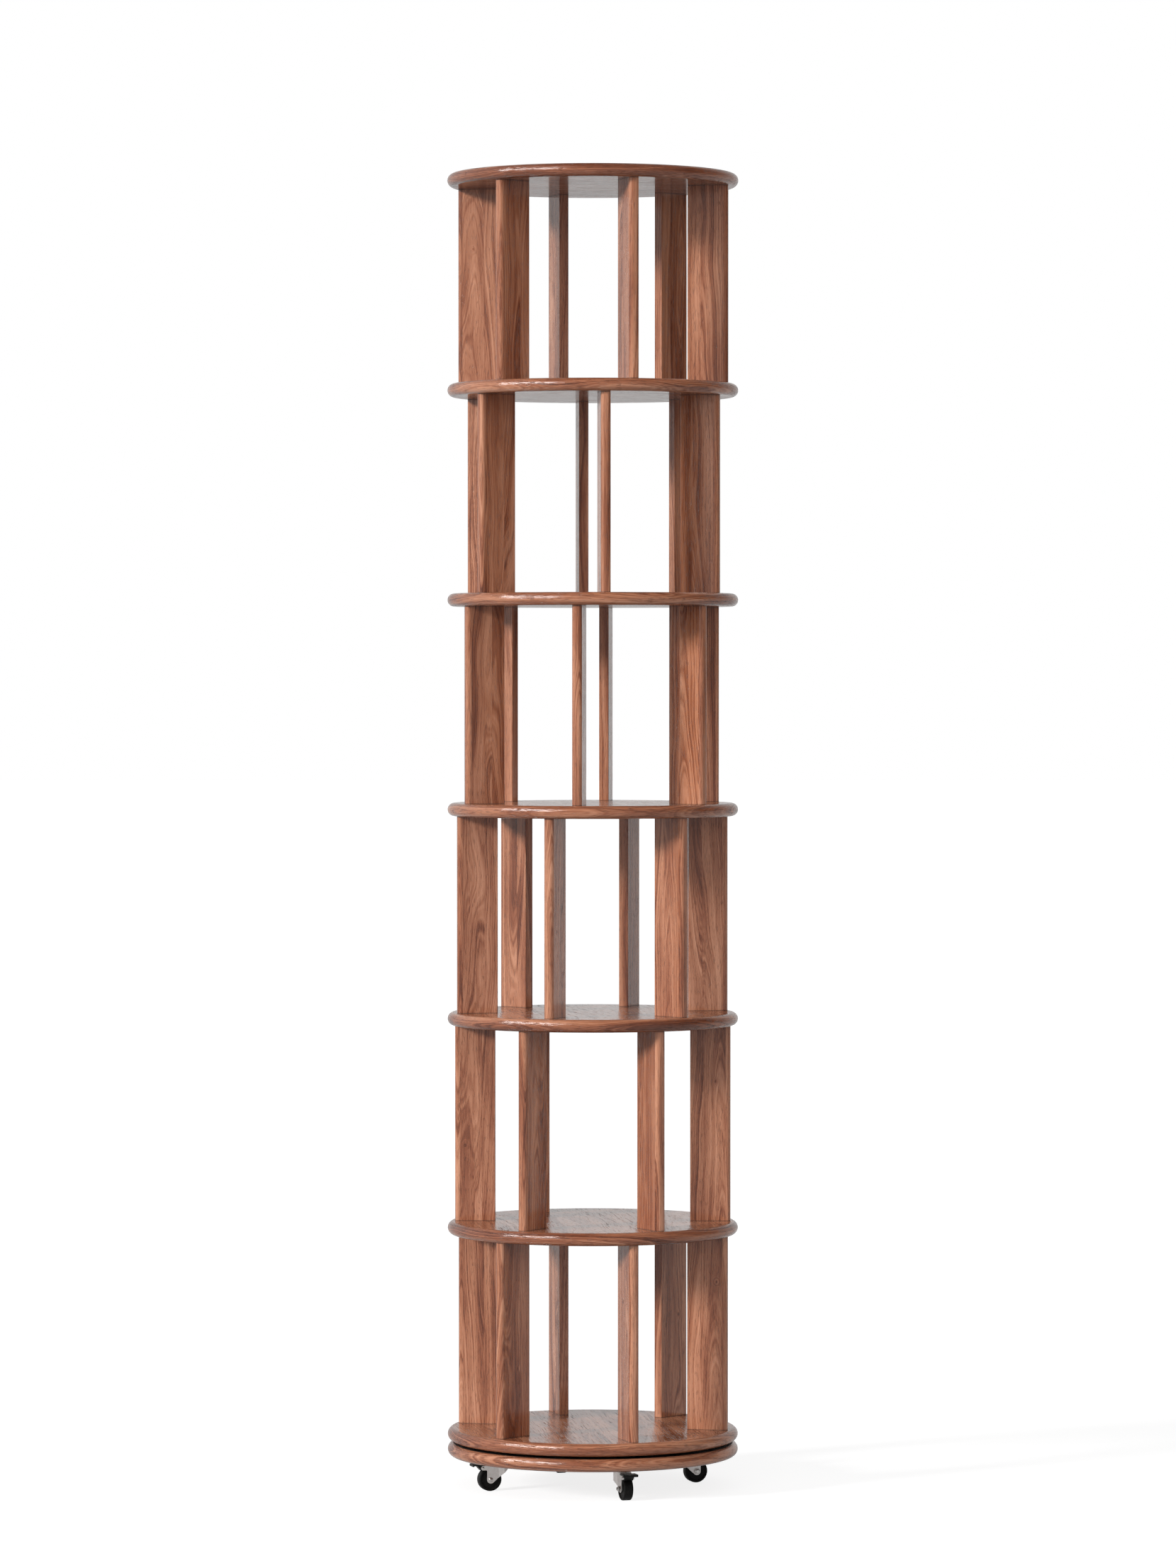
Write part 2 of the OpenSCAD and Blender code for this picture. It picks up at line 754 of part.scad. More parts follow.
shelf(1);  // top_shelf
shelf(2);  // shelf_2
shelf(3);  // shelf_3
shelf(4);  // shelf_4
shelf(5);  // shelf_5
shelf(6);  // shelf_6
bottom_shelf();
upright_pair(1, 0);  // tier_1_uprights_a
upright_pair(1, 1);  // tier_1_uprights_b
upright_pair(1, 2);  // tier_1_uprights_c
upright_pair(2, 0);  // tier_2_uprights_a
upright_pair(2, 1);  // tier_2_uprights_b
upright_pair(2, 2);  // tier_2_uprights_c
upright_pair(3, 0);  // tier_3_uprights_a
upright_pair(3, 1);  // tier_3_uprights_b
upright_pair(3, 2);  // tier_3_uprights_c
upright_pair(4, 0);  // tier_4_uprights_a
upright_pair(4, 1);  // tier_4_uprights_b
upright_pair(4, 2);  // tier_4_uprights_c
upright_pair(5, 0);  // tier_5_uprights_a
upright_pair(5, 1);  // tier_5_uprights_b
upright_pair(5, 2);  // tier_5_uprights_c
upright_pair(6, 0);  // tier_6_uprights_a
upright_pair(6, 1);  // tier_6_uprights_b
upright_pair(6, 2);  // tier_6_uprights_c
upright_dowels();
upright_screws();
base_disc();
turntable_outer_ring();
turntable_inner_ring();
turntable_ball_cage();
turntable_balls();
turntable_base_screws();
turntable_shelf_screws();
caster_plate(1);  // caster_plate_1
caster_plate(2);  // caster_plate_2
caster_plate(3);  // caster_plate_3
caster_plate(4);  // caster_plate_4
caster_kingpins();
caster_plate_screws();
caster_balls(1);  // caster_balls_1
caster_balls(2);  // caster_balls_2
caster_balls(3);  // caster_balls_3
caster_balls(4);  // caster_balls_4
caster_fork(1);  // caster_fork_1
caster_fork(2);  // caster_fork_2
caster_fork(3);  // caster_fork_3
caster_fork(4);  // caster_fork_4
caster_pins(1);  // caster_pins_1
caster_pins(2);  // caster_pins_2
caster_pins(3);  // caster_pins_3
caster_pins(4);  // caster_pins_4
caster_wheel(1);  // caster_wheel_1
caster_wheel(2);  // caster_wheel_2
caster_wheel(3);  // caster_wheel_3
caster_wheel(4);  // caster_wheel_4
caster_brake(1);  // caster_brake_1
caster_brake(2);  // caster_brake_2
caster_brake(3);  // caster_brake_3
caster_brake(4);  // caster_brake_4
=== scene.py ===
import math

import bmesh
import bpy
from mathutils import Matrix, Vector


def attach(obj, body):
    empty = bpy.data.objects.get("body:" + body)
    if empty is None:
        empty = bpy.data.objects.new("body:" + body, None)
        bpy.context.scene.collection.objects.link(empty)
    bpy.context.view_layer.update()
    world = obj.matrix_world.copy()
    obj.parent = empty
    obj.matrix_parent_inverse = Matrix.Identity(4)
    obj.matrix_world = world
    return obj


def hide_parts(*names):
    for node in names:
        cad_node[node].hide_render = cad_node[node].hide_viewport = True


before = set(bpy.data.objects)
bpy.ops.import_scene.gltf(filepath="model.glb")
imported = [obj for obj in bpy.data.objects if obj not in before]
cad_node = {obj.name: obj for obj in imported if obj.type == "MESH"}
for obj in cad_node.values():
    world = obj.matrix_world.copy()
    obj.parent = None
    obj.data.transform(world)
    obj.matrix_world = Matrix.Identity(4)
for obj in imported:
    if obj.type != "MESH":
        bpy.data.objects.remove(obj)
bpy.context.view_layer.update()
scene = bpy.context.scene

# Camera. It stands nine and a half metres in front of the bookcase with a long lens, a little
# above the middle shelf, and looks very slightly down and to the left.
camera_turn = math.radians(0.633)
camera_pitch = math.radians(1.0776)
camera_side = -0.00742
camera_distance = 9.489
camera_height = 1.2691
lens_mm = 140.64
sensor_mm = 36.0

camera_data = bpy.data.cameras.new("camera")
camera_data.lens = lens_mm
camera_data.sensor_width = sensor_mm
camera = bpy.data.objects.new("camera", camera_data)
camera.location = (
    camera_side * math.cos(camera_turn) + camera_distance * math.sin(camera_turn),
    camera_side * math.sin(camera_turn) - camera_distance * math.cos(camera_turn),
    camera_height,
)
camera.rotation_euler = (math.radians(90.0) - camera_pitch, 0.0, camera_turn)
scene.collection.objects.link(camera)
scene.camera = camera


# Studio. A pale room with a soft window of light in front, a glowing backdrop behind and one
# big lamp far off at the front left, which makes the shadows under the shelves. The lacquer also
# mirrors a white screen at the left and a long softbox, which glints on the rims.
room_light = 0.14
window_light = 1.30
window_azimuth = math.radians(12.0)
window_elevation = math.radians(12.0)
window_edge = 0.2
window_gloss = 0.2
room_gloss = 0.03
backdrop_light = 0.60
backdrop_edge = 0.3
backdrop_way = Vector((0.0, 1.0, 0.0))
screen_gloss = 0.9
screen_azimuth = math.radians(-80.0)
screen_elevation = math.radians(10.0)
screen_edge = 0.25
key_power = 3.45
key_spread = math.radians(10.0)
key_azimuth = math.radians(-56.0)
key_elevation = math.radians(18.5)
key_distance = 4.0
softbox_power = 1700.0
softbox_width = 10.0
softbox_height = 4.0
softbox_distance = 12.0
softbox_azimuth = math.radians(-55.0)
softbox_elevation = math.radians(36.0)
floor_size = 60.0
floor_bounce = 0.42
floor_seen = 0.30
floor_lift = 0.82
floor_gloss = 0.25


def new_tree(material):
    material.use_nodes = True
    tree = material.node_tree
    tree.nodes.clear()
    return tree


def put(tree, kind, **settings):
    node = tree.nodes.new(kind)
    for name, value in settings.items():
        setattr(node, name, value)
    return node


def feed(tree, source, socket):
    if isinstance(source, bpy.types.NodeSocket):
        tree.links.new(source, socket)
    else:
        socket.default_value = source


def calc(tree, step, *terms):
    node = put(tree, "ShaderNodeMath", operation=step)
    for term, socket in zip(terms, node.inputs):
        feed(tree, term, socket)
    return node.outputs[0]


def ramp(tree, value, low, high, to_low=0.0, to_high=1.0):
    node = put(tree, "ShaderNodeMapRange", interpolation_type="SMOOTHSTEP")
    limits = (("From Min", low), ("From Max", high), ("To Min", to_low), ("To Max", to_high))
    for setting, amount in limits:
        node.inputs[setting].default_value = amount
    feed(tree, value, node.inputs["Value"])
    return node.outputs[0]


def toward(azimuth, elevation):
    return Vector((
        math.sin(azimuth) * math.cos(elevation),
        -math.cos(azimuth) * math.cos(elevation),
        math.sin(elevation),
    ))


def glow(tree, way, middle, edge, level):
    near = put(tree, "ShaderNodeVectorMath", operation="DOT_PRODUCT")
    tree.links.new(way, near.inputs[0])
    near.inputs[1].default_value = middle
    return ramp(tree, near.outputs["Value"], edge, 1.0, 0.0, level)


def rays(tree):
    path = put(tree, "ShaderNodeLightPath")
    through = path.outputs["Is Transmission Ray"]
    seen = calc(tree, "MAXIMUM", path.outputs["Is Camera Ray"], through)
    return seen, path.outputs["Is Glossy Ray"]


def between(tree, share, one, other):
    return calc(tree, "MULTIPLY_ADD", share, calc(tree, "SUBTRACT", other, one), one)


world = bpy.data.worlds.new("white_room")
scene.world = world
tree = new_tree(world)
way = put(tree, "ShaderNodeTexCoord").outputs["Generated"]
window = glow(tree, way, toward(window_azimuth, window_elevation), window_edge, window_light)
backdrop = glow(tree, way, backdrop_way, backdrop_edge, backdrop_light)
screen = glow(tree, way, toward(screen_azimuth, screen_elevation), screen_edge, screen_gloss)
mirrored = calc(tree, "MULTIPLY_ADD", window, window_gloss, room_gloss)
mirrored = calc(tree, "ADD", mirrored, screen)
seen, glossy = rays(tree)
light = between(tree, glossy, calc(tree, "ADD", window, room_light), mirrored)
light = calc(tree, "ADD", light, backdrop)
room = put(tree, "ShaderNodeBackground")
room.inputs["Color"].default_value = (1.0, 1.0, 1.0, 1.0)
feed(tree, between(tree, seen, light, 1.0), room.inputs["Strength"])
world_out = put(tree, "ShaderNodeOutputWorld")
tree.links.new(room.outputs[0], world_out.inputs["Surface"])


def hang(data, azimuth, elevation, distance):
    lamp = bpy.data.objects.new(data.name, data)
    lamp.location = toward(azimuth, elevation) * distance
    lamp.rotation_euler = lamp.location.to_track_quat("Z", "Y").to_euler()
    scene.collection.objects.link(lamp)
    return lamp


key_data = bpy.data.lights.new("key_lamp", "SUN")
key_data.energy = key_power
key_data.angle = key_spread
hang(key_data, key_azimuth, key_elevation, key_distance).visible_glossy = False
softbox_data = bpy.data.lights.new("softbox", "AREA")
softbox_data.shape = "RECTANGLE"
softbox_data.size = softbox_width
softbox_data.size_y = softbox_height
softbox_data.energy = softbox_power
hang(softbox_data, softbox_azimuth, softbox_elevation, softbox_distance).visible_diffuse = False

floor_mesh = bpy.data.meshes.new("floor")
slab = bmesh.new()
bmesh.ops.create_grid(slab, x_segments=1, y_segments=1, size=floor_size)
slab.to_mesh(floor_mesh)
slab.free()
floor = bpy.data.objects.new("floor", floor_mesh)
scene.collection.objects.link(floor)
floor_white = bpy.data.materials.new("floor_white")
tree = new_tree(floor_white)
seen, glossy = rays(tree)
paint = put(tree, "ShaderNodeBsdfDiffuse")
feed(tree, between(tree, seen, floor_bounce, floor_seen), paint.inputs["Color"])
lift = put(tree, "ShaderNodeEmission")
glossy_lift = calc(tree, "MULTIPLY", glossy, floor_gloss)
feed(tree, calc(tree, "MULTIPLY_ADD", seen, floor_lift, glossy_lift), lift.inputs["Strength"])
both = put(tree, "ShaderNodeAddShader")
tree.links.new(paint.outputs[0], both.inputs[0])
tree.links.new(lift.outputs[0], both.inputs[1])
from_below = put(tree, "ShaderNodeMixShader")
tree.links.new(put(tree, "ShaderNodeNewGeometry").outputs["Backfacing"], from_below.inputs[0])
tree.links.new(both.outputs[0], from_below.inputs[1])
tree.links.new(put(tree, "ShaderNodeBsdfTransparent").outputs[0], from_below.inputs[2])
floor_out = put(tree, "ShaderNodeOutputMaterial")
tree.links.new(from_below.outputs[0], floor_out.inputs["Surface"])
floor_mesh.materials.append(floor_white)


# Base disc. A round board of solid walnut like the shelves, glued up from staves, turned to a
# full half-round rim and lacquered. It carries the bearing on top, where its face is painted
# near black as painted shade for the dark gap under the bottom shelf, and the casters are
# screwed up into its underside.
disc_radius = 0.225
rim_start = 0.2155
rim_full = 0.2175
half_thick = 0.010
painted_shade_depth = 0.0006
stave_width = 0.092
stave_seed_step = 0.37
rim_seed_step = 0.5
face_pore_run = 28.0
rim_pore_run = 90.0
face_relief = 0.70
rim_relief = 1.1
rim_pore_share = 0.5
base_middle = 0.060
base_grain = 31.0
base_seed = 8.0
walnut_tones = (
    (0.15, (0.120, 0.0340, 0.0160, 1.0)),
    (0.36, (0.241, 0.0800, 0.0392, 1.0)),
    (0.52, (0.350, 0.1410, 0.0750, 1.0)),
    (0.82, (0.500, 0.2350, 0.1410, 1.0)),
)
pore_brown = (0.050, 0.017, 0.010, 1.0)
pore_dark = 0.38
# Painted shade: near black, for the base disc's face in the gap under the bearing and for the ends
# of the uprights where they meet the shelves.
painted_shade_black = (0.006, 0.005, 0.004, 1.0)
lacquer_rough = 0.13
lacquer_rough_by_tone = -0.06
lacquer_rough_by_pores = 0.25
lacquer_rough_by_painted_shade = 0.40
lacquer_bends_light = 1.55
lacquer_relief = 0.0008


def vector(tree, step, *terms):
    node = put(tree, "ShaderNodeVectorMath", operation=step)
    for term, socket in zip(terms, node.inputs):
        feed(tree, term, socket)
    return node.outputs[0]


def split(tree, value):
    node = put(tree, "ShaderNodeSeparateXYZ")
    feed(tree, value, node.inputs[0])
    return node.outputs


def join(tree, *terms):
    node = put(tree, "ShaderNodeCombineXYZ")
    for term, socket in zip(terms, node.inputs):
        feed(tree, term, socket)
    return node.outputs[0]


def length(tree, one, other):
    one_squared = calc(tree, "MULTIPLY", one, one)
    return calc(tree, "SQRT", calc(tree, "MULTIPLY_ADD", other, other, one_squared))


def noise(tree, place, detail=2.0, roughness=0.5, dimensions="3D", scale=1.0):
    node = put(tree, "ShaderNodeTexNoise", noise_dimensions=dimensions)
    feed(tree, place, node.inputs["W" if dimensions == "1D" else "Vector"])
    feed(tree, scale, node.inputs["Scale"])
    node.inputs["Detail"].default_value = detail
    node.inputs["Roughness"].default_value = roughness
    return node.outputs[0]


# In a mix of colours, socket 0 is the share, 6 and 7 are the colours, and 2 is what comes out.
def mix(tree, share, one, other):
    node = put(tree, "ShaderNodeMix", data_type="RGBA", clamp_factor=True)
    feed(tree, share, node.inputs[0])
    feed(tree, one, node.inputs[6])
    feed(tree, other, node.inputs[7])
    return node.outputs[2]


def new_group(name, takes, gives):
    group = bpy.data.node_groups.new(name, "ShaderNodeTree")
    for label, kind in takes:
        group.interface.new_socket(name=label, in_out="INPUT", socket_type="NodeSocket" + kind)
    for label, kind in gives:
        group.interface.new_socket(name=label, in_out="OUTPUT", socket_type="NodeSocket" + kind)
    return group, put(group, "NodeGroupInput").outputs, put(group, "NodeGroupOutput").inputs


def use_group(tree, group, inputs):
    node = put(tree, "ShaderNodeGroup", node_tree=group)
    for name, value in inputs.items():
        feed(tree, value, node.inputs[name])
    return node.outputs


def object_place(tree):
    return put(tree, "ShaderNodeTexCoord").outputs["Object"]


def show(tree, skin):
    out = put(tree, "ShaderNodeOutputMaterial")
    tree.links.new(skin.outputs[0], out.inputs["Surface"])


def finish_with(node, material):
    for face_slot in cad_node[node].material_slots:
        face_slot.material = material


# The figure of one piece of wood whose grain runs along Z: growth rings round a pith that lies
# outside the board, fibres, open pores, a knot in some boards, and a change of tone from board
# to board. Three numbers drawn by the seed place the pith and the knot, each by (reach, start).
seed_steps = (1.73, 2.31, 3.19)
ring_seed_step = 0.61
pith_aside = (0.044, -0.022)
pith_behind = (0.030, 0.018)
pith_lean = (0.090, -0.045)
sway_pitch = (14.0, 14.0, 3.4)
sway_reach = 0.030
wander_pitch = (70.0, 70.0, 6.0)
wander_reach = 0.0030
knot_aside = (0.030, -0.010)
knot_up = (0.160, -0.080)
knot_stretch = 0.7
knot_wander = 0.003
knot_over = 0.62
knot_bend = (0.001, 0.009, 0.0022, 0.0)
knot_core = (0.0018, 0.0044, 1.0, 0.0)
growth_pitch = 420.0
line_pitch = 1250.0
broad_pitch = 110.0
patch_pitch = (42.0, 42.0, 5.0)
fibre_pitch = (1100.0, 1100.0, 34.0)
ripple_pitch = (300.0, 300.0, 110.0)
pore_pitch = 1250.0
pores_in_growth = (-0.34, 0.17)
pore_edges = (0.60, 0.76)
tone_start = -0.954
growth_tone = 0.60
line_tone = 0.48
broad_tone = 0.576
patch_tone = 0.744
fibre_tone = 0.408
board_tone = 0.08
knot_tone = -0.30
fibre_height = 0.3
pore_depth = -0.9
growth_height = 0.15
broad_height = 0.70
ripple_height = 0.20

figure, given, got = new_group(
    "wood_figure",
    [("Place", "Vector"), ("Seed", "Float"), ("Pore Run", "Float"), ("Knots", "Float")],
    [("Tone", "Float"), ("Pores", "Float"), ("Relief", "Float")],
)
chance = put(figure, "ShaderNodeTexWhiteNoise", noise_dimensions="1D")
feed(figure, given["Seed"], chance.inputs["W"])
draw = put(figure, "ShaderNodeSeparateColor")
feed(figure, chance.outputs["Color"], draw.inputs[0])
draw = draw.outputs
away = join(figure, *(calc(figure, "MULTIPLY", given["Seed"], step) for step in seed_steps))
moved = vector(figure, "ADD", given["Place"], away)
spot = split(figure, given["Place"])

sway = noise(figure, vector(figure, "MULTIPLY", moved, sway_pitch), detail=1.5)
wander = noise(figure, vector(figure, "MULTIPLY", moved, wander_pitch))
across = calc(figure, "SUBTRACT", spot[0], calc(figure, "MULTIPLY_ADD", draw[0], *pith_aside))
behind = calc(figure, "ADD", spot[1], calc(figure, "MULTIPLY_ADD", draw[1], *pith_behind))
lean = calc(figure, "MULTIPLY_ADD", draw[2], *pith_lean)
behind = calc(figure, "MULTIPLY_ADD", spot[2], lean, behind)
ring = length(figure, across, behind)
ring = calc(figure, "MULTIPLY_ADD", sway, sway_reach, ring)
ring = calc(figure, "MULTIPLY_ADD", wander, wander_reach, ring)
ring = calc(figure, "MULTIPLY_ADD", given["Seed"], ring_seed_step, ring)

knot_x = calc(figure, "SUBTRACT", spot[0], calc(figure, "MULTIPLY_ADD", draw[1], *knot_aside))
knot_z = calc(figure, "SUBTRACT", spot[2], calc(figure, "MULTIPLY_ADD", draw[2], *knot_up))
from_knot = length(figure, knot_x, calc(figure, "MULTIPLY", knot_z, knot_stretch))
from_knot = calc(figure, "MULTIPLY_ADD", wander, knot_wander, from_knot)
has_knot = calc(figure, "GREATER_THAN", draw[0], knot_over)
has_knot = calc(figure, "MULTIPLY", has_knot, given["Knots"])
bend = calc(figure, "MULTIPLY", ramp(figure, from_knot, *knot_bend), has_knot)
ring = calc(figure, "ADD", ring, bend)
knot = calc(figure, "MULTIPLY", ramp(figure, from_knot, *knot_core), has_knot)

growth = noise(figure, ring, roughness=0.60, dimensions="1D", scale=growth_pitch)
lines = noise(figure, ring, detail=1.0, dimensions="1D", scale=line_pitch)
broad = noise(figure, ring, detail=1.0, dimensions="1D", scale=broad_pitch)
patch = noise(figure, vector(figure, "MULTIPLY", moved, patch_pitch), detail=1.0)
fibre = noise(figure, vector(figure, "MULTIPLY", moved, fibre_pitch), detail=1.5)
pore_shape = join(figure, pore_pitch, pore_pitch, given["Pore Run"])
pore = noise(figure, vector(figure, "MULTIPLY", moved, pore_shape), detail=0.5)
pore = calc(figure, "ADD", pore, calc(figure, "MULTIPLY_ADD", growth, *pores_in_growth))
pores = ramp(figure, pore, *pore_edges)
tone = tone_start
for part, share in (
    (growth, growth_tone), (lines, line_tone), (broad, broad_tone), (patch, patch_tone),
    (fibre, fibre_tone), (draw[1], board_tone), (knot, knot_tone),
):
    tone = calc(figure, "MULTIPLY_ADD", part, share, tone)
feed(figure, tone, got["Tone"])
feed(figure, pores, got["Pores"])
ripple = noise(figure, vector(figure, "MULTIPLY", moved, ripple_pitch), detail=1.0)
relief = calc(figure, "MULTIPLY", pores, pore_depth)
relief = calc(figure, "MULTIPLY_ADD", fibre, fibre_height, relief)
relief = calc(figure, "MULTIPLY_ADD", growth, growth_height, relief)
relief = calc(figure, "MULTIPLY_ADD", broad, broad_height, relief)
feed(figure, calc(figure, "MULTIPLY_ADD", ripple, ripple_height, relief), got["Relief"])

# The lacquered colour of that figure, and painted shade where it has any, which darkens it towards
# black and dulls the lacquer.
colour, given, got = new_group(
    "walnut_colour",
    [("Tone", "Float"), ("Pores", "Float"), ("Painted Shade", "Float")],
    [("Color", "Color"), ("Roughness", "Float")],
)
walnut = put(colour, "ShaderNodeValToRGB")
while len(walnut.color_ramp.elements) < len(walnut_tones):
    walnut.color_ramp.elements.new(0.5)
for stop, (at, shade) in zip(walnut.color_ramp.elements, walnut_tones):
    stop.position = at
    stop.color = shade
feed(colour, given["Tone"], walnut.inputs[0])
in_pores = calc(colour, "MULTIPLY", given["Pores"], pore_dark)
wood = mix(colour, in_pores, walnut.outputs[0], pore_brown)
feed(colour, mix(colour, given["Painted Shade"], wood, painted_shade_black), got["Color"])
sheen = calc(colour, "MULTIPLY_ADD", given["Tone"], lacquer_rough_by_tone, lacquer_rough)
sheen = calc(colour, "MULTIPLY_ADD", given["Pores"], lacquer_rough_by_pores, sheen)
sheen = calc(colour, "MULTIPLY_ADD", given["Painted Shade"], lacquer_rough_by_painted_shade, sheen)
feed(colour, sheen, got["Roughness"])


def lacquered_walnut(tree, tone, pores, relief, painted_shade=0.0):
    finish = use_group(tree, colour, {"Tone": tone, "Pores": pores, "Painted Shade": painted_shade})
    bump = put(tree, "ShaderNodeBump")
    bump.inputs["Strength"].default_value = 1.0
    bump.inputs["Distance"].default_value = lacquer_relief
    tree.links.new(relief, bump.inputs["Height"])
    skin = put(tree, "ShaderNodeBsdfPrincipled")
    skin.inputs["IOR"].default_value = lacquer_bends_light
    tree.links.new(finish["Color"], skin.inputs["Base Color"])
    tree.links.new(finish["Roughness"], skin.inputs["Roughness"])
    tree.links.new(bump.outputs[0], skin.inputs["Normal"])
    show(tree, skin)


def disc_walnut(name, middle, grain_way, seed, rim_darker_tone_and_shade, painted_shade_on_top=False):
    material = bpy.data.materials.new(name)
    tree = new_tree(material)
    place = object_place(tree)
    turned = put(tree, "ShaderNodeMapping")
    turned.inputs["Location"].default_value = (0.0, 0.0, -middle)
    turned.inputs["Rotation"].default_value = (0.0, 0.0, math.radians(grain_way))
    tree.links.new(place, turned.inputs["Vector"])
    flat = split(tree, turned.outputs[0])
    stave = calc(tree, "FLOOR", calc(tree, "DIVIDE", flat[0], stave_width))
    stave_x = calc(tree, "MULTIPLY_ADD", calc(tree, "ADD", stave, 0.5), -stave_width, flat[0])
    face = use_group(tree, figure, {
        "Place": join(tree, stave_x, flat[2], flat[1]),
        "Seed": calc(tree, "MULTIPLY_ADD", stave, stave_seed_step, seed),
        "Pore Run": face_pore_run, "Knots": 0.0,
    })

    real = split(tree, place)
    out_from_axis = length(tree, real[0], real[1])
    round_rim = calc(tree, "ARCTAN2", real[0], calc(tree, "MULTIPLY", real[1], -1.0))
    rim = use_group(tree, figure, {
        "Place": join(
            tree, flat[2], calc(tree, "SUBTRACT", out_from_axis, disc_radius),
            calc(tree, "MULTIPLY", round_rim, disc_radius),
        ),
        "Seed": seed + rim_seed_step, "Pore Run": rim_pore_run, "Knots": 0.0,
    })
    at_rim = ramp(tree, out_from_axis, rim_start, rim_full)
    painted_shade = 0.0
    # Painted shade: the top face under the bearing, inside the rim, is coloured near black for the
    # dark gap.
    if painted_shade_on_top:
        at_top = calc(tree, "GREATER_THAN", flat[2], half_thick - painted_shade_depth)
        painted_shade = calc(tree, "MULTIPLY", at_top, calc(tree, "SUBTRACT", 1.0, at_rim))
    lacquered_walnut(
        tree,
        between(tree, at_rim, face["Tone"], calc(tree, "SUBTRACT", rim["Tone"], rim_darker_tone_and_shade)),
        between(tree, at_rim, face["Pores"], calc(tree, "MULTIPLY", rim["Pores"], rim_pore_share)),
        calc(
            tree, "MULTIPLY", between(tree, at_rim, face_relief, rim_relief),
            between(tree, at_rim, face["Relief"], rim["Relief"]),
        ),
        painted_shade,
    )
    return material


base_walnut = disc_walnut("base_disc_walnut", base_middle, base_grain, base_seed, 0.0, painted_shade_on_top=True)
finish_with("base_disc", base_walnut)


# Turntable. A ball bearing of two turned aluminium rings between the base disc and the bottom
# shelf. The outer ring is screwed down to the base disc and the inner one up to the shelf.
ring_shade = (0.72, 0.72, 0.73, 1.0)
ring_dull = (0.58, 0.58, 0.60, 1.0)
ring_rough = 0.34
turning_pitch = 2600.0
ball_shade = (0.74, 0.74, 0.75, 1.0)
ball_dull = (0.60, 0.60, 0.62, 1.0)
ball_rough = 0.10
screw_shade = (0.68, 0.67, 0.64, 1.0)
screw_dull = (0.46, 0.45, 0.43, 1.0)
screw_rough = 0.28
cloud_pitch = 240.0
cloud_edges = (0.30, 0.70)
cloud_rough = 0.16
grit_pitch = 3200.0
grit_rough = 0.06
grit_height = 0.3
mark_rough = 0.06
metal_relief = 0.00002

# Bare or plated metal: a cloudy sheen, with fine marks left by the press or the lathe.
metal_face, given, got = new_group(
    "metal_face",
    [
        ("Place", "Vector"), ("Bright", "Color"), ("Dull", "Color"), ("Roughness", "Float"),
        ("Marks", "Float"),
    ],
    [("Color", "Color"), ("Roughness", "Float"), ("Relief", "Float")],
)
cloud = noise(metal_face, given["Place"], detail=3.0, scale=cloud_pitch)
grit = noise(metal_face, given["Place"], detail=1.0, scale=grit_pitch)
clouded = ramp(metal_face, cloud, *cloud_edges)
feed(metal_face, mix(metal_face, clouded, given["Dull"], given["Bright"]), got["Color"])
spread = calc(metal_face, "SUBTRACT", given["Roughness"], cloud_rough / 2.0)
spread = calc(metal_face, "MULTIPLY_ADD", cloud, cloud_rough, spread)
spread = calc(metal_face, "MULTIPLY_ADD", given["Marks"], mark_rough, spread)
feed(metal_face, calc(metal_face, "MULTIPLY_ADD", grit, grit_rough, spread), got["Roughness"])
feed(metal_face, calc(metal_face, "MULTIPLY_ADD", grit, grit_height, given["Marks"]), got["Relief"])


def metal(name, bright, dull, roughness, marks=None, depth=metal_relief):
    material = bpy.data.materials.new(name)
    tree = new_tree(material)
    place = object_place(tree)
    face = use_group(tree, metal_face, {
        "Place": place, "Bright": bright, "Dull": dull, "Roughness": roughness,
        "Marks": marks(tree, place) if marks else 0.0,
    })
    bump = put(tree, "ShaderNodeBump")
    bump.inputs["Distance"].default_value = depth
    tree.links.new(face["Relief"], bump.inputs["Height"])
    skin = put(tree, "ShaderNodeBsdfPrincipled")
    skin.inputs["Metallic"].default_value = 1.0
    tree.links.new(face["Color"], skin.inputs["Base Color"])
    tree.links.new(face["Roughness"], skin.inputs["Roughness"])
    tree.links.new(bump.outputs[0], skin.inputs["Normal"])
    show(tree, skin)
    return material


def turned_marks(tree, place):
    at = split(tree, place)
    return noise(tree, length(tree, at[0], at[1]), dimensions="1D", scale=turning_pitch)


turned_ring = metal("turned_ring", ring_shade, ring_dull, ring_rough, marks=turned_marks)
finish_with("turntable_outer_ring", turned_ring)
finish_with("turntable_inner_ring", turned_ring)

# The thirty-six steel balls between the rings, and the moulded nylon cage that spaces them.
nylon_dark = (0.30, 0.29, 0.27, 1.0)
nylon_pale = (0.42, 0.41, 0.38, 1.0)
nylon_rough = 0.45
nylon_grain = 1500.0
nylon_relief = 0.00003
nylon_gloss = 0.4
grain_edges = (0.40, 0.75)
grain_rough = 0.10
bloom_pitch = 90.0
bloom_rough = 0.20
bloom_polish = 0.15

moulding, given, got = new_group(
    "moulding",
    [
        ("Place", "Vector"), ("Dark", "Color"), ("Pale", "Color"), ("Roughness", "Float"),
        ("Grain", "Float"),
    ],
    [("Color", "Color"), ("Roughness", "Float"), ("Relief", "Float")],
)
grain = noise(moulding, given["Place"], detail=2.0, scale=given["Grain"])
bloom = noise(moulding, given["Place"], detail=2.0, scale=bloom_pitch)
pebbled = ramp(moulding, grain, *grain_edges)
feed(moulding, mix(moulding, pebbled, given["Dark"], given["Pale"]), got["Color"])
spread = calc(moulding, "SUBTRACT", given["Roughness"], bloom_polish)
spread = calc(moulding, "MULTIPLY_ADD", bloom, bloom_rough, spread)
feed(moulding, calc(moulding, "MULTIPLY_ADD", grain, grain_rough, spread), got["Roughness"])
feed(moulding, grain, got["Relief"])


